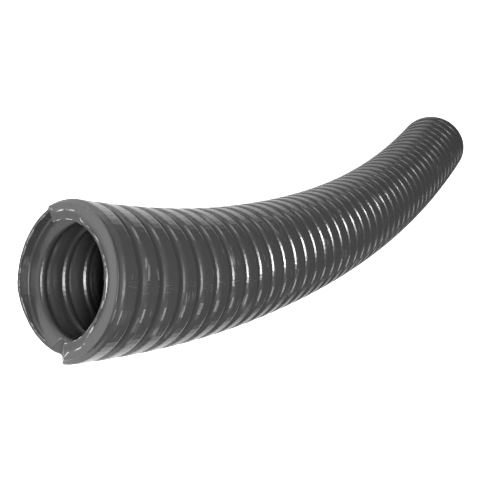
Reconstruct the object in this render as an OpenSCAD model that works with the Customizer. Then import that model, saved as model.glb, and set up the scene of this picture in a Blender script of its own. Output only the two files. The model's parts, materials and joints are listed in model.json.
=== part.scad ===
// Corrugated conduit: one blow-moulded, ring-ribbed plastic tube, cut to length from a coil.
// It lies on its side on the floor and keeps a gentle bend from the coil.
// Millimetres, +Z up, z = 0 under the lowest ridges, origin at the middle of the footprint.
// X runs along the chord of the bend, from the hand-cut end to the square one.

/* [Tube] */
// Diameter over the ridges, the nominal size of the conduit
outside_d = 25; // [20:0.5:32]
// Radial depth of a groove, from ridge to groove floor
groove_depth = 2.85; // [2.3:0.05:3.3]
// Thickness of the moulded wall
wall = 0.5; // [0.4:0.05:0.6]

/* [Corrugation] */
// Distance from one ridge to the next along the axis
pitch = 4.59; // [4.5:0.01:5.4]
// Width of the round band on top of a ridge, between its rounded shoulders
land_width = 1.9; // [1.6:0.05:1.95]
// Radius of a ridge's shoulders; inside, the wall follows it
shoulder_r = 0.9; // [0.7:0.05:0.95]
// How far a ridge's side wall leans outwards from its top to the groove floor
side_lean = 0.2; // [0.1:0.05:0.25]
// Bevel that blunts the inward crowns between the ridges' hollows
crown_bevel = 0.3; // [0.1:0.05:0.4]
// Whole ridges along the piece
ridge_count = 42; // [20:1:48]

/* [Bend] */
// Whole ridges in the tighter first stretch
first_stretch_ridges = 10; // [4:1:18]
// Bend radius of the first stretch
first_bend_r = 250; // [220:5:450]
// Bend radius of the rest
second_bend_r = 380; // [280:5:600]

/* [Cut end] */
// Distance from the cut to the middle of the first whole groove, on the axis
cut_to_groove = 0.28; // [0.15:0.01:0.4]
// Slant of the cut, away from square
cut_slant = 0.4; // [0:0.1:2]
// Way the slant leans: 0 leaves the top longest, 90 the outside of the bend, -90 the inside
cut_lean = -115; // [-180:5:180]

/* [Hidden] */
$fn = 64;
shoulder_steps = 2;
overrun = 1;
root_step = wall / 4;
ridge_r = outside_d / 2;
groove_r = ridge_r - groove_depth;
bore_r = groove_r - wall;
top_half = land_width / 2 + shoulder_r;
side_angle = atan(side_lean / groove_depth);
side_wall = wall / cos(side_angle);
hollow_root = top_half + side_lean * (groove_depth + wall) / groove_depth - side_wall;
join_gap = land_width / 4;
first_length = cut_to_groove + (first_stretch_ridges - 0.5) * pitch;
total_length = cut_to_groove + ridge_count * pitch;
first_turn = turn(first_length, first_bend_r);
near_end_run = arc_step(first_bend_r, 0, first_turn);
far_end_run = arc_step(second_bend_r, first_turn, first_turn + turn(total_length - first_length, second_bend_r));
whole_run = near_end_run + far_end_run;
start_heading = -atan2(whole_run.y, whole_run.x);
end_heading = heading(total_length);
end_point = spine(total_length);
block = 3 * outside_d;

// Angle turned over a length of arc
function turn(length, radius) = length / radius * 180 / PI;

// Heading of the axis at a distance from the cut; the chord of the whole bend lies along X
function heading(s) = start_heading + (s < first_length
    ? turn(s, first_bend_r)
    : first_turn + turn(s - first_length, second_bend_r));

// A step along an arc of the axis from one heading to another
function arc_step(radius, from, to) = radius * [sin(to) - sin(from), cos(from) - cos(to)];

// Point of the axis at a distance from the cut
function spine(s) = s < first_length
    ? arc_step(first_bend_r, start_heading, heading(s))
    : arc_step(first_bend_r, start_heading, heading(first_length))
        + arc_step(second_bend_r, heading(first_length), heading(s));

// Distance from the cut to the middle of a ridge; ridge 0 is the one that the cut takes off
function ridge_at(i) = cut_to_groove + (i - 0.5) * pitch;

// Points of a ridge's shoulder, from its side wall to its top: radius and distance from its middle.
// The wall's inner face is an arc about the same centre.
function shoulder(radius, steps) = [
    for (k = [0 : steps])
        let (a = side_angle + (90 - side_angle) * k / steps)
        [ridge_r - shoulder_r + radius * sin(a), land_width / 2 + radius * cos(a)]
];

// Outlines of one side of a ridge and of the hollow inside it
ridge_outline = concat(
    [[groove_r - root_step, top_half + side_lean], [groove_r + root_step, top_half + side_lean]],
    shoulder(shoulder_r, shoulder_steps)
);
hollow_outline = concat(
    [[bore_r - root_step, hollow_root + crown_bevel + root_step], [bore_r + crown_bevel, hollow_root]],
    shoulder(shoulder_r - wall, 1)
);

// Reach of the piece along a direction of the floor, measured from the near end of the axis
function along(p, way) = p.x * cos(way) + p.y * sin(way);
function ridge_reach(i, way) = along(spine(ridge_at(i)), way) + max([
    for (p = ridge_outline)
        p.x * abs(sin(heading(ridge_at(i)) - way)) + p.y * abs(cos(heading(ridge_at(i)) - way))
]);
function cut_s(angle) = -ridge_r * tan(cut_slant) * cos(angle - cut_lean);
function cut_reach(way) = max([
    for (a = [0 : 3 : 357])
        along([cut_s(a), -groove_r * sin(a)], way - start_heading)
]);
function reach(way) = max([
    cut_reach(way),
    along(end_point, way) + groove_r * abs(sin(end_heading - way)),
    for (i = [1 : ridge_count]) ridge_reach(i, way)
]);
middle = [reach(0) - reach(180), reach(90) - reach(-90), 0] / 2;

module at(s) {
    translate(spine(s)) rotate(heading(s)) children();
}

// A round rod inside the piece from one point of the axis to another
module rod(radius, from, to, start_gap, end_gap) {
    run = to - from;
    translate(from) rotate(atan2(run.y, run.x)) rotate([0, 90, 0])
        translate([0, 0, start_gap])
            cylinder(r = radius, h = norm(run) - start_gap - end_gap);
}

// The rods between the ridges and past the last one; they stop short of each other inside a ridge
module rods(radius, past_end) {
    for (i = [0 : ridge_count - 1])
        rod(radius, spine(ridge_at(i)), spine(ridge_at(i + 1)), join_gap, join_gap);
    rod(radius, spine(ridge_at(ridge_count)), end_point, join_gap, -past_end);
}

// A solid turned about the axis from the half outline of one side
module turned(outline) {
    far_side = [for (p = outline) [p.x, p.y]];
    near_side = [for (k = [len(outline) - 1 : -1 : 0]) [outline[k].x, -outline[k].y]];
    rotate([0, 90, 0])
        rotate_extrude()
            polygon(concat([[0, far_side[0].y]], far_side, near_side, [[0, -far_side[0].y]]));
}

// The block that cuts the near end off, a little off square
module end_cut() {
    rotate([cut_lean, 0, 0]) rotate([0, -cut_slant, 0])
        translate([-block, -block / 2, -block / 2])
            cube(block);
}

module conduit() {
    color([0.2, 0.21, 0.22])
        translate([0, 0, ridge_r] - middle)
            difference() {
                union() {
                    rods(groove_r, 0);
                    for (i = [0 : ridge_count])
                        at(ridge_at(i)) turned(ridge_outline);
                }
                rods(bore_r, overrun);
                for (i = [0 : ridge_count])
                    at(ridge_at(i)) turned(hollow_outline);
                rotate(start_heading) end_cut();
            }
}

conduit();
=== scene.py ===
# %% [markdown]
# A ring-ribbed plastic conduit, lying on the floor. The real tube is one thin wall: soft plastic is pushed
# out of a round die and blown against chilled moulds that run along with it on a chain. Each ring in the
# moulds shapes one ridge, so the ridges are separate rings, not a thread. The CAD solid has the ridges at
# their sizes. Here the same wall is made again with its rounded groove floors and the damage of the cut.

import json
import math

import bmesh
import bpy
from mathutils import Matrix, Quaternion, Vector


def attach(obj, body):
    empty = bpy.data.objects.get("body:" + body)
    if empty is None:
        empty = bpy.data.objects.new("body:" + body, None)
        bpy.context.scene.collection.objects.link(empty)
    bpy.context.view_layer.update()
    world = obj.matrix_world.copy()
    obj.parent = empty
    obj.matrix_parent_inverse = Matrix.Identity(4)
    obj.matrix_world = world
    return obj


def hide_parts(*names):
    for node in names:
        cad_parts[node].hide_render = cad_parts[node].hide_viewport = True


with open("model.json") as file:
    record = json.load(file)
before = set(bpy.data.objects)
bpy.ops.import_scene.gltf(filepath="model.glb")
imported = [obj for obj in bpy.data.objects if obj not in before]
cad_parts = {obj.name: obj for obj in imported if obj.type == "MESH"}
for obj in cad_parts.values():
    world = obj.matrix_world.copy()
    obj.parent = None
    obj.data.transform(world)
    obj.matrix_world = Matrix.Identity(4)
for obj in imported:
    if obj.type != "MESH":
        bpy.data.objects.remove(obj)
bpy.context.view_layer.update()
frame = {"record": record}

# %% [markdown]
# The driving sizes, in metres, are those of the CAD source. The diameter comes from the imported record,
# because the grips round the tube's first and last ridges are as wide as the ridges.

# %% Driving sizes
mounts = {mount["name"]: mount for mount in frame["record"]["mounts"]}
near_grip = mounts["near_end_grip"]
far_grip = mounts["far_end_grip"]
ridge_r = near_grip["dims"]["r_mm"] / 1000
land_width = near_grip["dims"]["length_mm"] / 1000
groove_depth = 0.00285
wall = 0.0005
pitch = 0.00459
shoulder_r = 0.0009
side_lean = 0.0002
ridge_count = 42
first_stretch_ridges = 10
first_bend_r = 0.250
second_bend_r = 0.380
cut_to_groove = 0.00028

groove_r = ridge_r - groove_depth
first_length = cut_to_groove + (first_stretch_ridges - 0.5) * pitch
total_length = cut_to_groove + ridge_count * pitch
print("diameter", 2 * ridge_r, "length along the bend", round(total_length, 4))

# %% [markdown]
# How the tube lies: it was cut from a coil, and two arcs give its set. The axis starts at the middle of the
# hand-cut end. The near grip says where that is and which way it looks, and the far grip proves the route.


# %% Route of the axis
def heading_at(along):
    """Way the axis runs, as an angle on the floor, at a distance from the cut."""
    first = min(along, first_length) / first_bend_r
    return start_heading + first + max(along - first_length, 0) / second_bend_r


def arc_run(radius, start, end):
    """Step along an arc of the axis from one heading to another."""
    return Vector((math.sin(end) - math.sin(start), math.cos(start) - math.cos(end), 0)) * radius


def axis_point(along):
    """Point of the axis at a distance from the cut."""
    split = min(along, first_length)
    run = arc_run(first_bend_r, start_heading, heading_at(split))
    if along > first_length:
        run += arc_run(second_bend_r, heading_at(first_length), heading_at(along))
    return axis_start + run


near_way = Vector(near_grip["axis"])
near_ridge_at = cut_to_groove + pitch / 2
start_heading = math.atan2(-near_way.y, -near_way.x) - near_ridge_at / first_bend_r
axis_start = Vector((0, 0, 0))
axis_start = Vector(near_grip["pos_m"]) - axis_point(near_ridge_at)

far_ridge_at = total_length - pitch / 2
miss = axis_point(far_ridge_at) - Vector(far_grip["pos_m"])
print("axis starts at", [round(v, 5) for v in axis_start], "misses the far grip by", round(miss.length, 6))

# %% [markdown]
# Small helpers keep the node trees readable. One adds a node with its settings and inputs, one starts a
# node group with named sockets, and one uses such a group inside another tree.

# %% Helpers for nodes and groups
FLOAT, INT, VECTOR = "NodeSocketFloat", "NodeSocketInt", "NodeSocketVector"
GEOMETRY, OBJECT, MATERIAL = "NodeSocketGeometry", "NodeSocketObject", "NodeSocketMaterial"


def add_node(tree, kind, inputs=None, **settings):
    """A node of this kind; each input is a value, or a socket to link."""
    node = tree.nodes.new(kind)
    for name, value in settings.items():
        setattr(node, name, value)
    for key, value in (inputs or {}).items():
        if isinstance(value, bpy.types.NodeSocket):
            tree.links.new(value, node.inputs[key])
        else:
            node.inputs[key].default_value = value
    return node


def group_node(tree, group, inputs):
    """A node that uses one of the node groups."""
    kind = "GeometryNodeGroup" if tree.bl_idname == "GeometryNodeTree" else "ShaderNodeGroup"
    return add_node(tree, kind, inputs, node_tree=group)


def new_tree(name, kind, inputs, outputs):
    """A node group with named sockets: returns it, its input node's outputs and its output node."""
    tree = bpy.data.node_groups.new(name, kind)
    for socket_name, socket_type, default in inputs:
        socket = tree.interface.new_socket(socket_name, in_out="INPUT", socket_type=socket_type)
        if default is not None:
            socket.default_value = default
    for socket_name, socket_type in outputs:
        tree.interface.new_socket(socket_name, in_out="OUTPUT", socket_type=socket_type)
    given = tree.nodes.new("NodeGroupInput").outputs
    result = tree.nodes.new("NodeGroupOutput")
    return tree, given, result


print("a tree's sockets are", FLOAT, INT, VECTOR, GEOMETRY, OBJECT, MATERIAL)

# %% [markdown]
# One step of arithmetic each. Every helper adds a node to the tree and gives back its result, so that a
# formula reads from the inside out. The Mix node has sockets of one name for every kind of value, so they
# are found by their number.

# %% Helpers for arithmetic
MIX_SOCKETS = {"VECTOR": (4, 5, 1), "RGBA": (6, 7, 2)}


def calc(tree, operation, *values):
    """One step of arithmetic on numbers."""
    node = add_node(tree, "ShaderNodeMath", dict(enumerate(values)), operation=operation)
    return node.outputs[0]


def calc_vector(tree, operation, *values):
    """One step of arithmetic on vectors."""
    node = add_node(tree, "ShaderNodeVectorMath", dict(enumerate(values)), operation=operation)
    return node.outputs["Value"] if operation == "LENGTH" else node.outputs["Vector"]


def scale_vector(tree, vector, factor):
    """Vector made longer by a factor."""
    node = add_node(tree, "ShaderNodeVectorMath", {0: vector, "Scale": factor}, operation="SCALE")
    return node.outputs["Vector"]


def combine(tree, x, y, z):
    """Vector made of three numbers."""
    return add_node(tree, "ShaderNodeCombineXYZ", {"X": x, "Y": y, "Z": z}).outputs["Vector"]


def separate(tree, vector):
    """The three numbers of a vector."""
    node = add_node(tree, "ShaderNodeSeparateXYZ", {"Vector": vector})
    return node.outputs["X"], node.outputs["Y"], node.outputs["Z"]


def mix(tree, kind, factor, first, second):
    """The first vector or colour where the factor is 0, the second where it is 1."""
    first_at, second_at, result_at = MIX_SOCKETS[kind]
    inputs = {0: factor, first_at: first, second_at: second}
    return add_node(tree, "ShaderNodeMix", inputs, data_type=kind).outputs[result_at]


def blend_over(tree, value, start, end, low=0.0, high=1.0, kind="SMOOTHSTEP"):
    """Number that passes from low to high while value goes from start to end."""
    inputs = {"Value": value, "From Min": start, "From Max": end, "To Min": low, "To Max": high}
    return add_node(tree, "ShaderNodeMapRange", inputs, interpolation_type=kind).outputs["Result"]


print("mix sockets", MIX_SOCKETS)

# %% [markdown]
# The outline of the wall over one pitch, from the middle of one groove to the next. Every bend in the wall
# is an arc, and its inner face turns about the same centre, as a blown skin of even thickness does: a groove
# floor is a full round outside, and the crown that it makes inside is rounder by the thickness of the wall.

# %% Outline of one pitch
lean = math.atan2(side_lean, groove_depth)
shoulder_at = pitch / 2 - land_width / 2
shoulder_side = shoulder_at - shoulder_r * math.cos(lean)
shoulder_height = ridge_r - groove_r - shoulder_r + shoulder_r * math.sin(lean)
floor_r = (shoulder_side - math.tan(lean) * shoulder_height) / (
    math.cos(lean) - math.tan(lean) * (1 - math.sin(lean))
)


def arc(center_along, center_r, radius, start, end, steps):
    """Points (along, radius) of an arc, from one angle to another."""
    angles = [start + (end - start) * k / steps for k in range(steps + 1)]
    return [(center_along + radius * math.cos(a), center_r + radius * math.sin(a)) for a in angles]


def half_pitch(offset, floor_steps, shoulder_steps):
    """Outline from the middle of a groove to a ridge's shoulder; offset is how far inside the outer face."""
    shoulder_center_r = ridge_r - shoulder_r
    shoulder_turn = (math.pi - lean, math.pi / 2)
    floor = arc(0, groove_r + floor_r, floor_r + offset, -math.pi / 2, -lean, floor_steps)
    corner = arc(shoulder_at, shoulder_center_r, shoulder_r - offset, *shoulder_turn, shoulder_steps)
    return floor + corner


def whole_pitch(offset, floor_steps, shoulder_steps, land_steps=1):
    """Outline over one pitch; land_steps is how many straight steps cross the top of the ridge."""
    rise = half_pitch(offset, floor_steps, shoulder_steps)
    fall = [(pitch - along, radius) for along, radius in reversed(rise)]
    land = [(shoulder_at + land_width * k / land_steps, ridge_r - offset) for k in range(1, land_steps)]
    return rise + land + fall


def line_object(name, points):
    """A loose line of points, for the node tree to read."""
    mesh = bpy.data.meshes.new(name)
    edges = [(k, k + 1) for k in range(len(points) - 1)]
    mesh.from_pydata([(along, radius, 0) for along, radius in points], edges, [])
    return bpy.data.objects.new(name, mesh)


# The line before this one ends at its first point, so that point is left out.
outer_pitch = line_object("outer_pitch", whole_pitch(0, floor_steps=3, shoulder_steps=4)[1:])
inner_pitch = line_object("inner_pitch", whole_pitch(wall, floor_steps=3, shoulder_steps=2)[1:])
print("groove floor radius", round(floor_r, 6), "points a pitch", len(outer_pitch.data.vertices))

# %% [markdown]
# The mouth. The first ridge has a finer outline than the others, because the knife crossed it and left it
# creased. Each line begins in the middle of the first groove; the knife takes off what lies before its cut.


# %% Outline of the first ridge
def mouth_line(name, offset, floor_steps, shoulder_steps, land_steps):
    """Line over the first ridge, with a land fine enough to crease."""
    points = whole_pitch(offset, floor_steps, shoulder_steps, land_steps)
    return line_object(name, [(cut_to_groove + along, radius) for along, radius in points])


outer_mouth = mouth_line("outer_mouth", 0, floor_steps=5, shoulder_steps=9, land_steps=9)
inner_mouth = mouth_line("inner_mouth", wall, floor_steps=5, shoulder_steps=5, land_steps=7)
print("points of the mouth", len(outer_mouth.data.vertices), len(inner_mouth.data.vertices))

# %% [markdown]
# The axis as a curve. It starts a little before the cut and ends a little past the far end, so that every
# part of the wall has a piece of axis beside it.

# %% Curve of the axis
ROUTE_STEPS = 240
ROUTE_OVERRUN = 0.002

route_curve = bpy.data.curves.new("route", "CURVE")
route_curve.dimensions = "3D"
route_line = route_curve.splines.new("POLY")
route_line.points.add(ROUTE_STEPS)
for k, point in enumerate(route_line.points):
    along = -ROUTE_OVERRUN + (total_length + 2 * ROUTE_OVERRUN) * k / ROUTE_STEPS
    point.co = (*axis_point(along), 1)
route = bpy.data.objects.new("route", route_curve)
print("route has", len(route_line.points), "points")

# %% [markdown]
# Helpers for what changes round the tube. Noise is read on a circle, so that it closes on itself, and a
# sector is a smooth mask between two angles. Angle 0 is the top of the tube and the inside of the bend
# follows it, then the floor side and the outside of the bend.


# %% Helpers for masks and noise
def noise(tree, place, scale, detail=2.0):
    """Smooth noise from 0 to 1."""
    node = add_node(tree, "ShaderNodeTexNoise", {"Vector": place, "Scale": scale, "Detail": detail})
    return node.outputs[0]


def ring_place(tree, angle, third, size=1.0):
    """Place on a circle round the tube, for noise to read; the third number keeps two circles apart."""
    up = calc(tree, "MULTIPLY", calc(tree, "COSINE", angle), size)
    inward = calc(tree, "MULTIPLY", calc(tree, "SINE", angle), size)
    return combine(tree, up, inward, third)


def sector(tree, angle, degrees):
    """1 between two angles round the tube, with a soft edge at each end."""
    rise_from, rise_to, fall_from, fall_to = (math.radians(d) for d in degrees)
    rise = blend_over(tree, angle, rise_from, rise_to)
    fall = blend_over(tree, angle, fall_from, fall_to, 1, 0)
    return calc(tree, "MULTIPLY", rise, fall)


def bell(tree, value, middle, width):
    """Smooth bump of height 1 round a middle value."""
    ratio = calc(tree, "DIVIDE", calc(tree, "SUBTRACT", value, middle), width)
    return calc(tree, "EXPONENT", calc(tree, "MULTIPLY", calc(tree, "MULTIPLY", ratio, ratio), -1.0))


print("masks are smooth numbers from 0 to 1")

# %% [markdown]
# Node group "knife path": where the knife went through the wall. It followed the first groove over the top
# of the tube, climbed the first ridge's side, crossed its top on the floor side and ended almost one ridge
# away from where it began, so the cut has a step there. A hand-held knife rarely closes its round.

# %% Knife path
KNIFE_IN_GROOVE = 0.00033
KNIFE_UP_SIDE = 0.00033
KNIFE_ON_RIDGE = 0.00145
KNIFE_DRIFT = 0.0022
KNIFE_WAVER = 0.00016
KNIFE_WAVER_SCALE = 5.0
SIDE_SECTOR = (66, 76, 300, 340)
RIDGE_SECTOR = (108, 121, 254, 282)
DRIFT_SECTOR = (190, 258)


def make_knife_path():
    """Node group: how far along the tube the knife's cut lies, at an angle round it."""
    kind = "GeometryNodeTree"
    tree, given, result = new_tree("knife path", kind, [("Round", FLOAT, 0)], [("Along", FLOAT)])
    angle = given["Round"]
    on_side = sector(tree, angle, SIDE_SECTOR)
    on_ridge = sector(tree, angle, RIDGE_SECTOR)
    drift_from, drift_to = (math.radians(d) for d in DRIFT_SECTOR)
    drift_end = KNIFE_ON_RIDGE + KNIFE_DRIFT
    drift = blend_over(tree, angle, drift_from, drift_to, KNIFE_ON_RIDGE, drift_end, "LINEAR")
    uneven = noise(tree, ring_place(tree, angle, 0), KNIFE_WAVER_SCALE, detail=3.0)
    waver = calc(tree, "MULTIPLY", calc(tree, "SUBTRACT", uneven, 0.5), KNIFE_WAVER)
    climbed = calc(tree, "MULTIPLY_ADD", on_side, KNIFE_UP_SIDE, KNIFE_IN_GROOVE)
    crossed = calc(tree, "MULTIPLY", on_ridge, calc(tree, "ADD", drift, waver))
    tree.links.new(calc(tree, "ADD", climbed, crossed), result.inputs["Along"])
    return tree


knife_path = make_knife_path()
print("knife path has", len(knife_path.nodes), "nodes")

# %% [markdown]
# To turn a line as on a lathe, a flat grid gets one row for each point of the line and one column for each
# step round the tube, and each of its corners is moved to its place on the wall. These helpers find which
# point a corner stands for. A half is added before each whole-number division, to keep it off its edge.


# %% Helpers for turning a line
def line_point(tree, line, index):
    """Place of one point of a line."""
    place = tree.nodes.new("GeometryNodeInputPosition").outputs[0]
    inputs = {"Geometry": line, "Value": place, "Index": index}
    kind = "GeometryNodeSampleIndex"
    return add_node(tree, kind, inputs, data_type="FLOAT_VECTOR", domain="POINT").outputs["Value"]


def point_count(tree, line):
    """Number of points in a line."""
    return add_node(tree, "GeometryNodeAttributeDomainSize", {"Geometry": line}).outputs["Point Count"]


def divide_whole(tree, value, divisor):
    """How many times the divisor goes into a whole number."""
    return calc(tree, "FLOOR", calc(tree, "DIVIDE", calc(tree, "ADD", value, 0.5), divisor))


def row_and_angle(tree, columns, steps_round):
    """Row of a corner of the grid, and its angle round the tube."""
    index = tree.nodes.new("GeometryNodeInputIndex").outputs[0]
    row = divide_whole(tree, index, columns)
    column = calc(tree, "SUBTRACT", index, calc(tree, "MULTIPLY", row, columns))
    return row, calc(tree, "DIVIDE", calc(tree, "MULTIPLY", column, math.tau), steps_round)


pitch_point_counts = [len(line.data.vertices) for line in (outer_pitch, inner_pitch)]
print("the pitch lines have", pitch_point_counts, "points")

# %% [markdown]
# The line runs over the mouth's outline once and then over one pitch again and again. The last row closes
# the far end in the middle of the wall's thickness, where the inner and the outer face meet.

# %% Line along the wall
END_TRIM = 0.00006


def place_on_line(tree, given, row, mouth_points, pitch_points, line_points):
    """Distance along the tube and radius, for a row of the grid, before the knife."""
    past_mouth = calc(tree, "SUBTRACT", row, mouth_points)
    turn = divide_whole(tree, past_mouth, pitch_points)
    in_turn = calc(tree, "SUBTRACT", past_mouth, calc(tree, "MULTIPLY", turn, pitch_points))
    turn_shift = calc(tree, "MULTIPLY_ADD", turn, given["Pitch"], given["First Groove"])
    turn_place = line_point(tree, given["Pitch Line"], in_turn)
    turn_place = calc_vector(tree, "ADD", turn_place, combine(tree, turn_shift, 0, 0))
    mouth_place = line_point(tree, given["Mouth Line"], row)

    end_along = calc(tree, "MULTIPLY_ADD", given["Pitch"], given["Repeats"], given["First Groove"])
    end_along = calc(tree, "SUBTRACT", end_along, END_TRIM)
    end_place = combine(tree, end_along, groove_r - wall / 2, 0)

    is_mouth = calc(tree, "LESS_THAN", past_mouth, -0.5)
    is_end = calc(tree, "GREATER_THAN", row, calc(tree, "SUBTRACT", line_points, 0.5))
    place = mix(tree, "VECTOR", is_mouth, turn_place, mouth_place)
    along, radius, _ = separate(tree, mix(tree, "VECTOR", is_end, place, end_place))
    return combine(tree, calc(tree, "MINIMUM", along, end_along), radius, 0)


print("the far end is trimmed by", END_TRIM)

# %% [markdown]
# The knife takes off what lies before its path: each row that it would leave in the air moves to the cut's
# edge. The edge's radius is found with a ray that meets the outline, drawn out sideways into a ribbon. The
# first row lies in the middle of the cut face, halfway between the outer edge and the inner one.

# %% What the knife leaves
RIBBON = 0.001


def radius_at(tree, line, along):
    """Radius of a line at a distance along the tube."""
    drawn_out = {"Mesh": line, "Offset": combine(tree, 0, 0, RIBBON)}
    ribbon = add_node(tree, "GeometryNodeExtrudeMesh", drawn_out, mode="EDGES").outputs["Mesh"]
    start = combine(tree, along, 0, RIBBON / 2)
    inputs = {"Target Geometry": ribbon, "Source Position": start, "Ray Direction": (0, 1, 0)}
    ray = add_node(tree, "GeometryNodeRaycast", inputs)
    return separate(tree, ray.outputs["Hit Position"])[1]


def cut_off(tree, given, row, angle, place):
    """Place on the line after the knife, whether it is on the cut, and how far it is from the cut's edge."""
    cut = group_node(tree, knife_path, {"Round": angle}).outputs["Along"]
    cut_radius = radius_at(tree, given["Mouth Line"], cut)
    other_radius = radius_at(tree, given["Other Mouth Line"], cut)
    middle_radius = calc(tree, "MULTIPLY", calc(tree, "ADD", cut_radius, other_radius), 0.5)
    edge = combine(tree, cut, cut_radius, 0)
    on_cut = calc(tree, "LESS_THAN", row, 0.5)
    is_taken_off = calc(tree, "LESS_THAN", separate(tree, place)[0], cut)
    place = mix(tree, "VECTOR", is_taken_off, place, edge)
    place = mix(tree, "VECTOR", on_cut, place, combine(tree, cut, middle_radius, 0))
    return place, on_cut, calc_vector(tree, "LENGTH", calc_vector(tree, "SUBTRACT", place, edge))


print("the knife cuts between", KNIFE_IN_GROOVE, "and", KNIFE_IN_GROOVE + KNIFE_ON_RIDGE + KNIFE_DRIFT)

# %% [markdown]
# Node group "turned wall": it turns one face of the wall about a straight axis. The outer and the inner face
# use it once each, with their own lines.

# %% Turned wall
STEPS_ROUND = 72


def make_turned_wall():
    """Node group that turns the mouth's line and the repeated pitch about the axis."""
    tree, given, result = new_tree(
        "turned wall",
        "GeometryNodeTree",
        [
            ("Mouth Line", GEOMETRY, None),
            ("Other Mouth Line", GEOMETRY, None),
            ("Pitch Line", GEOMETRY, None),
            ("First Groove", FLOAT, cut_to_groove + pitch),
            ("Pitch", FLOAT, pitch),
            ("Repeats", INT, ridge_count - 1),
            ("Steps Round", INT, STEPS_ROUND),
        ],
        [("Wall", GEOMETRY), ("Round", FLOAT), ("On Cut", FLOAT), ("From Cut", FLOAT)],
    )
    mouth_points = point_count(tree, given["Mouth Line"])
    pitch_points = point_count(tree, given["Pitch Line"])
    line_points = calc(tree, "MULTIPLY_ADD", pitch_points, given["Repeats"], mouth_points)
    rows = calc(tree, "ADD", line_points, 1)
    columns = calc(tree, "ADD", given["Steps Round"], 1)
    grid = add_node(tree, "GeometryNodeMeshGrid", {"Vertices X": rows, "Vertices Y": columns})

    row, angle = row_and_angle(tree, columns, given["Steps Round"])
    place = place_on_line(tree, given, row, mouth_points, pitch_points, line_points)
    place, on_cut, from_cut = cut_off(tree, given, row, angle, place)
    along, radius, _ = separate(tree, place)
    inward = calc(tree, "MULTIPLY", radius, calc(tree, "SINE", angle))
    upward = calc(tree, "MULTIPLY", radius, calc(tree, "COSINE", angle))
    inputs = {"Geometry": grid.outputs["Mesh"], "Position": combine(tree, along, inward, upward)}
    turned = add_node(tree, "GeometryNodeSetPosition", inputs).outputs["Geometry"]

    outputs = {"Wall": turned, "Round": angle, "On Cut": on_cut, "From Cut": from_cut}
    for name, socket in outputs.items():
        tree.links.new(socket, result.inputs[name])
    return tree


turned_wall = make_turned_wall()
print("turned wall has", len(turned_wall.nodes), "nodes")

# %% [markdown]
# What cutting and handling did to the tube, as shifts along the axis and away from it. The first ridge is
# pushed towards the mouth and has a crease round its top, one groove is pinched on the outside of the bend,
# and every ridge wavers a little, because warm plastic never leaves the mould quite even.

# %% Pushes, crease and waver
RIDGE_PUSH = 0.00033
PUSH_LOST_OUTSIDE = 0.55
CREASE_AT = 0.00092
CREASE_WIDTH = 0.00030
CREASE_DEPTH = 0.00050
CREASE_NOISE_SCALE = 1.7
CREASE_SHALLOWEST, CREASE_VARIES = 0.6, 0.8
PINCHED_GROOVE = 7
PINCH_WIDTH = 0.0013
PINCH_SHIFT = 0.00045
RIDGE_WAVER, RIDGE_WAVER_SCALE = 0.00007, 0.8
RIDGE_SINK, RIDGE_SINK_SCALE = 0.00005, 1.3
TUBE_SHIFT = 0.00001
FAR_END_PULL = 0.00007


def first_ridge_push(tree, along, high, outer_side):
    """Shift of the first ridge's top towards the mouth; the outside of the bend is pushed less."""
    near_side = blend_over(tree, along, CREASE_AT, CREASE_AT + shoulder_r, 1, 0)
    here = calc(tree, "MULTIPLY_ADD", outer_side, PUSH_LOST_OUTSIDE * RIDGE_PUSH, -RIDGE_PUSH)
    return calc(tree, "MULTIPLY", calc(tree, "MULTIPLY", high, near_side), here)


def crease(tree, pushed, high, ring, depth):
    """Depth of the crease round the top of the first ridge."""
    uneven = noise(tree, ring, CREASE_NOISE_SCALE)
    uneven = calc(tree, "MULTIPLY_ADD", uneven, CREASE_VARIES, CREASE_SHALLOWEST)
    line = calc(tree, "MULTIPLY", bell(tree, pushed, CREASE_AT, CREASE_WIDTH), high)
    return calc(tree, "MULTIPLY", calc(tree, "MULTIPLY", line, depth), uneven)


def pinch(tree, along, outer_side):
    """Shift of the walls of the pinched groove towards each other."""
    pinch_at = cut_to_groove + PINCHED_GROOVE * pitch
    from_pinch = calc(tree, "DIVIDE", calc(tree, "SUBTRACT", along, pinch_at), PINCH_WIDTH)
    near_pinch = calc(tree, "MULTIPLY", bell(tree, along, pinch_at, PINCH_WIDTH), from_pinch)
    return calc(tree, "MULTIPLY", calc(tree, "MULTIPLY", near_pinch, outer_side), -PINCH_SHIFT)


def mould_waver(tree, along, angle):
    """Shifts that the mould left; along the axis, the two ends keep their place."""
    place = ring_place(tree, angle, calc(tree, "DIVIDE", along, pitch))
    inboard = blend_over(tree, along, pitch / 2, pitch)
    short_of_end = blend_over(tree, along, total_length - pitch, total_length, 1, 0)
    middle = calc(tree, "MULTIPLY", inboard, short_of_end)
    waver = calc(tree, "SUBTRACT", noise(tree, place, RIDGE_WAVER_SCALE), 0.5)
    waver = calc(tree, "MULTIPLY", calc(tree, "MULTIPLY", waver, middle), 2 * RIDGE_WAVER)
    return waver, calc(tree, "MULTIPLY", noise(tree, place, RIDGE_SINK_SCALE), -RIDGE_SINK)


print("crease at", CREASE_AT, "pinched groove at", round(cut_to_groove + PINCHED_GROOVE * pitch, 4))

# %% [markdown]
# Node group "end damage" adds these shifts up. The whole tube also moves a hair away from the mouth and its
# far end is drawn in a hair, which keeps the pushed ridge and the far ridge within the size of the solid.


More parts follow.
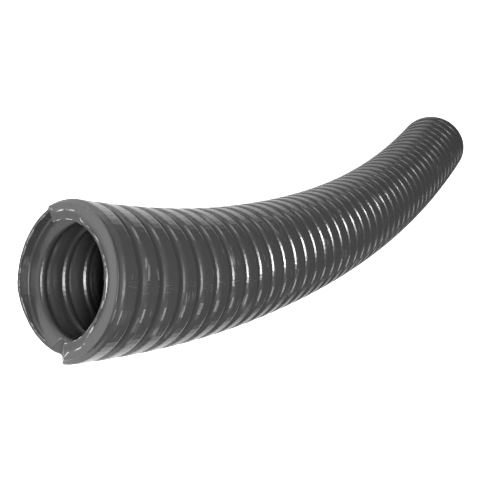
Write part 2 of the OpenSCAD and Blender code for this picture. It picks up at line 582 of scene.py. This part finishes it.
# %% End damage
def make_end_damage():
    """Node group that gives the shifts of a point of the wall along and away from the axis."""
    tree, given, result = new_tree(
        "end damage",
        "GeometryNodeTree",
        [
            ("Along", FLOAT, 0),
            ("Radius", FLOAT, 0),
            ("Round", FLOAT, 0),
            ("Crease Depth", FLOAT, CREASE_DEPTH),
            ("Seed", FLOAT, 0),
        ],
        [("Along Shift", FLOAT), ("Radius Shift", FLOAT)],
    )
    along, radius, angle = given["Along"], given["Radius"], given["Round"]
    high = blend_over(tree, radius, groove_r + wall / 2, ridge_r - shoulder_r)
    outer_side = calc(tree, "MAXIMUM", calc(tree, "MULTIPLY", calc(tree, "SINE", angle), -1.0), 0)

    push = calc(tree, "ADD", first_ridge_push(tree, along, high, outer_side), TUBE_SHIFT)
    ring = ring_place(tree, angle, given["Seed"])
    dent = crease(tree, calc(tree, "ADD", along, push), high, ring, given["Crease Depth"])
    squeeze = pinch(tree, along, outer_side)
    waver, sink = mould_waver(tree, along, angle)
    pull_from, pull_to = total_length - pitch / 2, total_length - shoulder_r
    end_pull = blend_over(tree, along, pull_from, pull_to, 0, -FAR_END_PULL)

    along_shift = calc(tree, "ADD", calc(tree, "ADD", push, end_pull), calc(tree, "ADD", squeeze, waver))
    tree.links.new(along_shift, result.inputs["Along Shift"])
    tree.links.new(calc(tree, "SUBTRACT", sink, dent), result.inputs["Radius Shift"])
    return tree


end_damage = make_end_damage()
print("end damage has", len(end_damage.nodes), "nodes")

# %% [markdown]
# The tube's two faces, outer and inner, are each turned from their own lines. Every point keeps its angle
# round the tube, whether it lies on the cut and how far it is from the cut's edge, for the finish to read.


# %% One face of the wall
def object_geometry(tree, socket):
    """Geometry of an object that a named input gives."""
    return add_node(tree, "GeometryNodeObjectInfo", {"Object": socket}).outputs["Geometry"]


def keep(tree, geometry, name, value):
    """Stores a number on each point."""
    inputs = {"Geometry": geometry, "Name": name, "Value": value}
    kind = "GeometryNodeStoreNamedAttribute"
    return add_node(tree, kind, inputs, data_type="FLOAT", domain="POINT").outputs["Geometry"]


def turned_face(tree, given, side, other_side):
    """One face of the wall, with its attributes."""
    inputs = {
        "Mouth Line": object_geometry(tree, given[side + " Mouth"]),
        "Other Mouth Line": object_geometry(tree, given[other_side + " Mouth"]),
        "Pitch Line": object_geometry(tree, given[side + " Pitch"]),
        "First Groove": calc(tree, "ADD", given["Cut To Groove"], given["Pitch"]),
        "Pitch": given["Pitch"],
        "Repeats": calc(tree, "SUBTRACT", given["Ridges"], 1),
        "Steps Round": given["Steps Round"],
    }
    turned = group_node(tree, turned_wall, inputs)
    face = keep(tree, turned.outputs["Wall"], "round", turned.outputs["Round"])
    face = keep(tree, face, "on_cut", turned.outputs["On Cut"])
    return keep(tree, face, "from_cut", turned.outputs["From Cut"])


print("each face is turned in", STEPS_ROUND, "steps")

# %% [markdown]
# Joined, the two faces are damaged, welded along the cut and the far end into one closed skin, and laid on
# the axis. Before it is damaged, the skin keeps each point's distance along the tube and its depth below the
# ridges. The weld is finer than any step of the outline, so that it closes seams and nothing else.

# %% From two faces to one bent skin
WELD = 0.000002
SHARP_FOLD = math.radians(50)
UP = (0, 0, 1)


def damage_skin(tree, given, skin):
    """The skin after handling; it keeps where each point was before."""
    place = tree.nodes.new("GeometryNodeInputPosition").outputs[0]
    along, inward, upward = separate(tree, place)
    from_axis = combine(tree, 0, inward, upward)
    radius = calc_vector(tree, "LENGTH", from_axis)
    skin = keep(tree, skin, "along", along)
    skin = keep(tree, skin, "depth", blend_over(tree, radius, ridge_r, groove_r, kind="LINEAR"))
    stored = add_node(tree, "GeometryNodeInputNamedAttribute", {"Name": "round"}, data_type="FLOAT")
    inputs = {
        "Along": along,
        "Radius": radius,
        "Round": stored.outputs["Attribute"],
        "Crease Depth": given["Crease Depth"],
        "Seed": given["Seed"],
    }
    damage = group_node(tree, end_damage, inputs)
    away = calc_vector(tree, "NORMALIZE", from_axis)
    away = scale_vector(tree, away, damage.outputs["Radius Shift"])
    shift = calc_vector(tree, "ADD", away, combine(tree, damage.outputs["Along Shift"], 0, 0))
    return add_node(tree, "GeometryNodeSetPosition", {"Geometry": skin, "Offset": shift}).outputs[0]


def lay_on_axis(tree, given, skin):
    """The straight tube bent along the axis; the floor side stays level."""
    place = tree.nodes.new("GeometryNodeInputPosition").outputs[0]
    along, inward, upward = separate(tree, place)
    inputs = {
        "Curves": object_geometry(tree, given["Axis"]),
        "Length": calc(tree, "ADD", along, ROUTE_OVERRUN),
    }
    on_axis = add_node(tree, "GeometryNodeSampleCurve", inputs, mode="LENGTH")
    way = calc_vector(tree, "NORMALIZE", on_axis.outputs["Tangent"])
    sideways = scale_vector(tree, calc_vector(tree, "CROSS_PRODUCT", UP, way), inward)
    laid = calc_vector(tree, "ADD", on_axis.outputs["Position"], sideways)
    laid = calc_vector(tree, "ADD", laid, combine(tree, 0, 0, upward))
    return add_node(tree, "GeometryNodeSetPosition", {"Geometry": skin, "Position": laid}).outputs[0]


def finish_skin(tree, given, skin):
    """The skin with smooth shading up to its sharp folds, as a real mesh with its material."""
    fold = tree.nodes.new("GeometryNodeInputMeshEdgeAngle").outputs["Unsigned Angle"]
    shading = {"Geometry": skin, "Shade Smooth": calc(tree, "LESS_THAN", fold, SHARP_FOLD)}
    skin = add_node(tree, "GeometryNodeSetShadeSmooth", shading, domain="EDGE").outputs[0]
    skin = add_node(tree, "GeometryNodeRealizeInstances", {"Geometry": skin}).outputs[0]
    painted = {"Geometry": skin, "Material": given["Plastic"]}
    return add_node(tree, "GeometryNodeSetMaterial", painted).outputs[0]


print("weld", WELD, "edges stay sharp from", round(math.degrees(SHARP_FOLD)), "degrees")

# %% [markdown]
# The whole tube as one node tree. It has a named input for each outline and size, so that the step that
# makes the tube reads like a list of what goes into it. Both faces are turned the same way, so the inner one
# is flipped: then all faces point out of the plastic.


# %% Tree of the whole tube
def make_conduit_tree():
    """Node tree that makes the tube from its outlines and its axis."""
    tree, given, result = new_tree(
        "ring-ribbed tube",
        "GeometryNodeTree",
        [
            ("Geometry", GEOMETRY, None),
            ("Outer Mouth", OBJECT, None),
            ("Inner Mouth", OBJECT, None),
            ("Outer Pitch", OBJECT, None),
            ("Inner Pitch", OBJECT, None),
            ("Axis", OBJECT, None),
            ("Ridges", INT, ridge_count),
            ("Pitch", FLOAT, pitch),
            ("Cut To Groove", FLOAT, cut_to_groove),
            ("Steps Round", INT, STEPS_ROUND),
            ("Crease Depth", FLOAT, CREASE_DEPTH),
            ("Seed", FLOAT, 0),
            ("Plastic", MATERIAL, None),
        ],
        [("Geometry", GEOMETRY)],
    )
    outer = turned_face(tree, given, "Outer", "Inner")
    inner = turned_face(tree, given, "Inner", "Outer")
    inner = add_node(tree, "GeometryNodeFlipFaces", {"Mesh": inner}).outputs["Mesh"]
    both = tree.nodes.new("GeometryNodeJoinGeometry")
    for face in (outer, inner):
        tree.links.new(face, both.inputs[0])

    skin = damage_skin(tree, given, both.outputs["Geometry"])
    skin = add_node(tree, "GeometryNodeMergeByDistance", {"Geometry": skin, "Distance": WELD}).outputs[0]
    skin = lay_on_axis(tree, given, skin)
    tree.links.new(finish_skin(tree, given, skin), result.inputs["Geometry"])
    return tree


conduit_tree = make_conduit_tree()
print("tube tree has", len(conduit_tree.nodes), "nodes")

# %% [markdown]
# Node groups for the plastic's finish. They give only masks, numbers and normals, so any of them can serve
# another moulded part. The first is the fine uneven skin that a chilled mould leaves on soft plastic.

# %% Mould skin
BROAD_WAVES = 0.12
FINE_SHARE = 0.35


def make_mould_skin():
    """Node group: fine bumps of the moulded skin, and how its gloss wavers."""
    tree, given, result = new_tree(
        "mould skin",
        "ShaderNodeTree",
        [("Place", VECTOR, None), ("Grain Size", FLOAT, 0.0006), ("Height", FLOAT, 0.05)],
        [("Normal", VECTOR), ("Gloss Change", FLOAT)],
    )
    scale = calc(tree, "DIVIDE", 1, given["Grain Size"])
    fine = noise(tree, given["Place"], scale, detail=3)
    broad = noise(tree, given["Place"], calc(tree, "MULTIPLY", scale, BROAD_WAVES), detail=3)
    height = calc(tree, "MULTIPLY_ADD", fine, FINE_SHARE, broad)
    inputs = {"Height": height, "Strength": given["Height"], "Distance": given["Grain Size"]}
    bump = add_node(tree, "ShaderNodeBump", inputs)
    tree.links.new(bump.outputs["Normal"], result.inputs["Normal"])
    tree.links.new(calc(tree, "SUBTRACT", broad, 0.5), result.inputs["Gloss Change"])
    return tree


mould_skin = make_mould_skin()
print("mould skin has", len(mould_skin.nodes), "nodes")

# %% [markdown]
# Rub marks: dragging the tube over a floor and through other coils leaves short dull scratches that run
# round the ridges' tops. The mask is streaky noise, stretched round the tube, kept to a few patches and to
# high places. Both kinds of noise are counted in cells for each metre along the tube.

# %% Rub marks
STREAKS_PER_METRE, STREAK_RING = 1400, 3
STREAK_FROM, STREAK_TO = 0.56, 0.70
PATCHES_PER_METRE, PATCH_SCALE = 60, 2.2
PATCH_FROM, PATCH_TO = 0.45, 0.65
RUBBED_BELOW, RUBBED_FULLY = 0.3, 0.05


def make_rub_marks():
    """Node group: mask of pale scratches on the ridges' tops."""
    tree, given, result = new_tree(
        "rub marks",
        "ShaderNodeTree",
        [("Along", FLOAT, 0), ("Round", FLOAT, 0), ("Depth", FLOAT, 0), ("Amount", FLOAT, 0.5)],
        [("Mask", FLOAT)],
    )
    angle = given["Round"]
    streak_along = calc(tree, "MULTIPLY", given["Along"], STREAKS_PER_METRE)
    streaks = noise(tree, ring_place(tree, angle, streak_along, STREAK_RING), 1.0, detail=4)
    streaks = blend_over(tree, streaks, STREAK_FROM, STREAK_TO)
    patch_along = calc(tree, "MULTIPLY", given["Along"], PATCHES_PER_METRE)
    patches = noise(tree, ring_place(tree, angle, patch_along), PATCH_SCALE)
    patches = blend_over(tree, patches, PATCH_FROM, PATCH_TO)
    high = blend_over(tree, given["Depth"], RUBBED_BELOW, RUBBED_FULLY)
    mask = calc(tree, "MULTIPLY", calc(tree, "MULTIPLY", streaks, patches), high)
    tree.links.new(calc(tree, "MULTIPLY", mask, given["Amount"]), result.inputs["Mask"])
    return tree


rub_marks = make_rub_marks()
print("rub marks have", len(rub_marks.nodes), "nodes")

# %% [markdown]
# The plastic: a dark grey, half-glossy polyolefin, coloured through. Dirt dulls the grooves, and painted
# shade darkens them. The skin along the cut's edge is paler and chipped, as such plastic whitens under
# strain, and that pale edge is also a painted highlight along the rim. The cut face itself is duller than
# the moulded skin.

# %% Colours and finish
PLASTIC_GREY = (0.029, 0.029, 0.0295, 1)
# The next grey is painted shade for the depths of the grooves.
GROOVE_SHADE_GREY = (0.010, 0.010, 0.010, 1)
CUT_GREY = (0.027, 0.027, 0.027, 1)
# Pale grey along the cut's edge: whitened by strain, and also a painted highlight on the rim.
PALE_EDGE_AND_HIGHLIGHT_GREY = (0.35, 0.35, 0.35, 1)
RUBBED_GREY = (0.16, 0.16, 0.16, 1)

PLASTIC_ROUGHNESS = 0.23
GLOSS_WAVER = 0.2
RUBBED_ROUGHER = 0.3
DIRTY_ROUGHER = 0.1
CUT_ROUGHER = 0.35

GRAIN_SIZE, GRAIN_HEIGHT = 0.0006, 0.05
RUBBED_AMOUNT = 0.5
CUT_FACE_FROM, CUT_FACE_TO = 0.05, 0.25
EDGE_WIDTH = 0.00020
CHIP_SCALE = 900.0
CHIP_FROM, CHIP_TO = 0.42, 0.62
# Depth below the ridges at which the grooves begin to get painted shade and dirt, and how much of the
# painted shade colour they take.
DIRT_AND_SHADE_FROM_DEPTH, GROOVE_SHADE_COVER = 0.55, 0.6
print("plastic", PLASTIC_GREY[:3], "roughness", PLASTIC_ROUGHNESS)

# %% [markdown]
# The material reads the attributes that the tube's mesh keeps, and places its noise by Object coordinates,
# so that the pattern stays on the tube wherever it is moved.


# %% Plastic
def attribute(tree, name):
    """A number that the tube's mesh keeps for each point."""
    return add_node(tree, "ShaderNodeAttribute", attribute_name=name).outputs["Fac"]


def make_plastic():
    """The tube's material."""
    material = bpy.data.materials.new("dark grey conduit plastic")
    material.use_nodes = True
    tree = material.node_tree
    shader = tree.nodes["Principled BSDF"]
    place = tree.nodes.new("ShaderNodeTexCoord").outputs["Object"]
    along, angle, depth = (attribute(tree, name) for name in ("along", "round", "depth"))

    skin = group_node(
        tree, mould_skin, {"Place": place, "Grain Size": GRAIN_SIZE, "Height": GRAIN_HEIGHT}
    )
    marks = {"Along": along, "Round": angle, "Depth": depth, "Amount": RUBBED_AMOUNT}
    rubbed = group_node(tree, rub_marks, marks).outputs["Mask"]
    cut_face = blend_over(tree, attribute(tree, "on_cut"), CUT_FACE_FROM, CUT_FACE_TO)
    at_edge = blend_over(tree, attribute(tree, "from_cut"), EDGE_WIDTH, 0.0)
    chips = blend_over(tree, noise(tree, place, CHIP_SCALE, detail=4), CHIP_FROM, CHIP_TO)
    # Pale, chipped edge along the cut: whitening from strain, and also a painted highlight along the rim.
    pale_edge_and_highlight = calc(tree, "MULTIPLY", calc(tree, "SUBTRACT", at_edge, cut_face), chips)
    # Painted shade: the grooves are darkened as if shade fell in them. The same mask makes them rougher, as
    # dirt does.
    dirt_and_shade = blend_over(tree, depth, DIRT_AND_SHADE_FROM_DEPTH, 1.0)

    groove_shade = calc(tree, "MULTIPLY", dirt_and_shade, GROOVE_SHADE_COVER)
    colour = mix(tree, "RGBA", groove_shade, PLASTIC_GREY, GROOVE_SHADE_GREY)
    colour = mix(tree, "RGBA", cut_face, colour, CUT_GREY)
    colour = mix(tree, "RGBA", pale_edge_and_highlight, colour, PALE_EDGE_AND_HIGHLIGHT_GREY)
    colour = mix(tree, "RGBA", rubbed, colour, RUBBED_GREY)
    roughness = calc(tree, "MULTIPLY_ADD", skin.outputs["Gloss Change"], GLOSS_WAVER, PLASTIC_ROUGHNESS)
    for mask, rougher in ((rubbed, RUBBED_ROUGHER), (dirt_and_shade, DIRTY_ROUGHER), (cut_face, CUT_ROUGHER)):
        roughness = calc(tree, "MULTIPLY_ADD", mask, rougher, roughness)

    tree.links.new(colour, shader.inputs["Base Color"])
    tree.links.new(roughness, shader.inputs["Roughness"])
    tree.links.new(skin.outputs["Normal"], shader.inputs["Normal"])
    return material


plastic = make_plastic()
print("plastic has", len(plastic.node_tree.nodes), "nodes")

# %% [markdown]
# Make the tube: the tree is set on an empty mesh, evaluated once, and its result is kept as a plain mesh.
# The modifier's inputs are set by their identifiers, because that is how the modifier keeps them. A closed
# skin has a volume above zero only when its faces point outwards, so the volume is measured as well.

# %% Make the tube
DAMAGE_SEED = 3.0


def evaluated_copy(name, tree, values):
    """A plain mesh object made by a node tree with these inputs."""
    holder = bpy.data.objects.new(name + "_maker", bpy.data.meshes.new(name + "_start"))
    bpy.context.scene.collection.objects.link(holder)
    modifier = holder.modifiers.new(name, "NODES")
    modifier.node_group = tree
    sockets = {item.name: item.identifier for item in tree.interface.items_tree if item.in_out == "INPUT"}
    for key, value in values.items():
        modifier[sockets[key]] = value
    bpy.context.view_layer.update()
    done = holder.evaluated_get(bpy.context.evaluated_depsgraph_get())
    mesh = bpy.data.meshes.new_from_object(done)
    mesh.name = name
    piece = bpy.data.objects.new(name, mesh)
    bpy.context.scene.collection.objects.link(piece)
    bpy.data.objects.remove(holder)
    return piece


conduit_inputs = {
    "Outer Mouth": outer_mouth,
    "Inner Mouth": inner_mouth,
    "Outer Pitch": outer_pitch,
    "Inner Pitch": inner_pitch,
    "Axis": route,
    "Ridges": ridge_count,
    "Pitch": pitch,
    "Cut To Groove": cut_to_groove,
    "Steps Round": STEPS_ROUND,
    "Crease Depth": CREASE_DEPTH,
    "Seed": DAMAGE_SEED,
    "Plastic": plastic,
}
conduit = evaluated_copy("conduit_tube", conduit_tree, conduit_inputs)
for helper in (outer_mouth, inner_mouth, outer_pitch, inner_pitch, route):
    bpy.data.objects.remove(helper)
conduit.data.calc_loop_triangles()
print("tube has", len(conduit.data.loop_triangles), "triangles")
skin_check = bmesh.new()
skin_check.from_mesh(conduit.data)
print("volume of plastic in cubic metres", skin_check.calc_volume(signed=True))
skin_check.free()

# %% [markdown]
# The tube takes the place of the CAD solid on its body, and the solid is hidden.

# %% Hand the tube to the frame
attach(conduit, "root")
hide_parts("conduit")
print("replaces the solid of", conduit.name)

# %% [markdown]
# A plain white floor that keeps a faint shadow: what the camera sees of it is mostly its own white.

# %% Floor
FLOOR_SIZE = 6.0
FLOOR_GLOW = 0.90
FLOOR_ROUGHNESS = 0.9
FLOOR_WHITE = (0.9, 0.9, 0.9, 1)


def make_floor():
    """The floor, level with the underside of the tube."""
    bpy.ops.mesh.primitive_plane_add(size=FLOOR_SIZE, location=(0, 0, 0))
    floor = bpy.context.object
    floor.name = "floor"
    material = bpy.data.materials.new("white floor")
    material.use_nodes = True
    tree = material.node_tree
    shader = tree.nodes["Principled BSDF"]
    shader.inputs["Base Color"].default_value = FLOOR_WHITE
    shader.inputs["Roughness"].default_value = FLOOR_ROUGHNESS
    shader.inputs["Emission Color"].default_value = (1, 1, 1, 1)
    light_path = tree.nodes.new("ShaderNodeLightPath")
    glow = calc(tree, "MULTIPLY", light_path.outputs["Is Camera Ray"], FLOOR_GLOW)
    tree.links.new(glow, shader.inputs["Emission Strength"])
    floor.data.materials.append(material)
    return floor


make_floor()
print("floor is", FLOOR_SIZE, "metres wide")

# %% [markdown]
# The camera looks down into the cut end from close by and is rolled onto its side, so that the tube runs
# away across the picture. It is placed from the middle of the cut end: so far ahead, to the left and up.

# %% Camera
CAMERA_AHEAD, CAMERA_LEFT, CAMERA_UP = -0.05937, 0.00450, 0.07153
CAMERA_TURN, CAMERA_DIP, CAMERA_ROLL = math.radians(2.71), math.radians(33.74), math.radians(92.7)
CAMERA_LENS = 45.0
CAMERA_CLIP = 0.005


def add_camera():
    """The scene's camera, placed from the middle of the cut end."""
    camera_data = bpy.data.cameras.new("camera")
    camera_data.lens = CAMERA_LENS
    camera_data.clip_start = CAMERA_CLIP
    camera = bpy.data.objects.new("camera", camera_data)
    bpy.context.scene.collection.objects.link(camera)
    forward = Vector((math.cos(start_heading), math.sin(start_heading), 0))
    left = Vector((-forward.y, forward.x, 0))
    camera.location = axis_start + forward * CAMERA_AHEAD + left * CAMERA_LEFT + Vector(UP) * CAMERA_UP
    azimuth = start_heading + CAMERA_TURN
    level = math.cos(CAMERA_DIP)
    view_way = Vector((level * math.cos(azimuth), level * math.sin(azimuth), -math.sin(CAMERA_DIP)))
    upright = view_way.to_track_quat("-Z", "Y")
    camera.rotation_mode = "QUATERNION"
    camera.rotation_quaternion = upright @ Quaternion((0, 0, 1), CAMERA_ROLL)
    bpy.context.scene.camera = camera
    return camera


camera = add_camera()
print("camera at", [round(v, 4) for v in camera.location])

# %% [markdown]
# Soft studio light: a small light in front of the mouth, which draws the thin highlights on the ridges and
# in the bore, a broad key over the far half, and a low strip for the other side. Each is aimed at a point of
# the axis, given as a share of the tube's length, and stands off from it in one of the camera's directions.


# %% Lights
def soft_light(name, aim, way, distance, size, power):
    """An area light aimed at a point of the axis; way is given in the camera's own directions."""
    data = bpy.data.lights.new(name, "AREA")
    data.shape = "RECTANGLE"
    data.size, data.size_y = size
    data.energy = power
    light = bpy.data.objects.new(name, data)
    bpy.context.scene.collection.objects.link(light)
    out = camera.rotation_quaternion @ Vector(way).normalized()
    light.location = axis_point(aim * total_length) + out * distance
    light.rotation_mode = "QUATERNION"
    light.rotation_quaternion = (-out).to_track_quat("-Z", "Y")
    return light


soft_lights = [
    soft_light("mouth_light", 0.0, (0.32, 0.02, 0.95), distance=0.25, size=(0.14, 0.04), power=1.45),
    soft_light("key_light", 0.8, (0.2, 1.0, 0.6), distance=0.5, size=(0.40, 0.15), power=0.8),
    soft_light("low_light", 0.8, (0.6, -0.8, 0.5), distance=0.4, size=(0.30, 0.10), power=0.7),
]
print("lights", [light.name for light in soft_lights])

# %% [markdown]
# The sky lights the tube evenly and weakly. It is white only where the camera sees it.

# %% Sky
SKY_LIGHT = 0.14

sky = bpy.data.worlds.new("sky")
sky.use_nodes = True
background = sky.node_tree.nodes["Background"]
seen = sky.node_tree.nodes.new("ShaderNodeLightPath").outputs["Is Camera Ray"]
sky_strength = blend_over(sky.node_tree, seen, 0, 1, SKY_LIGHT, 1.0, kind="LINEAR")
background.inputs["Color"].default_value = (1, 1, 1, 1)
sky.node_tree.links.new(sky_strength, background.inputs["Strength"])
bpy.context.scene.world = sky
bpy.context.scene.view_settings.view_transform = "Standard"
print("sky light", SKY_LIGHT)
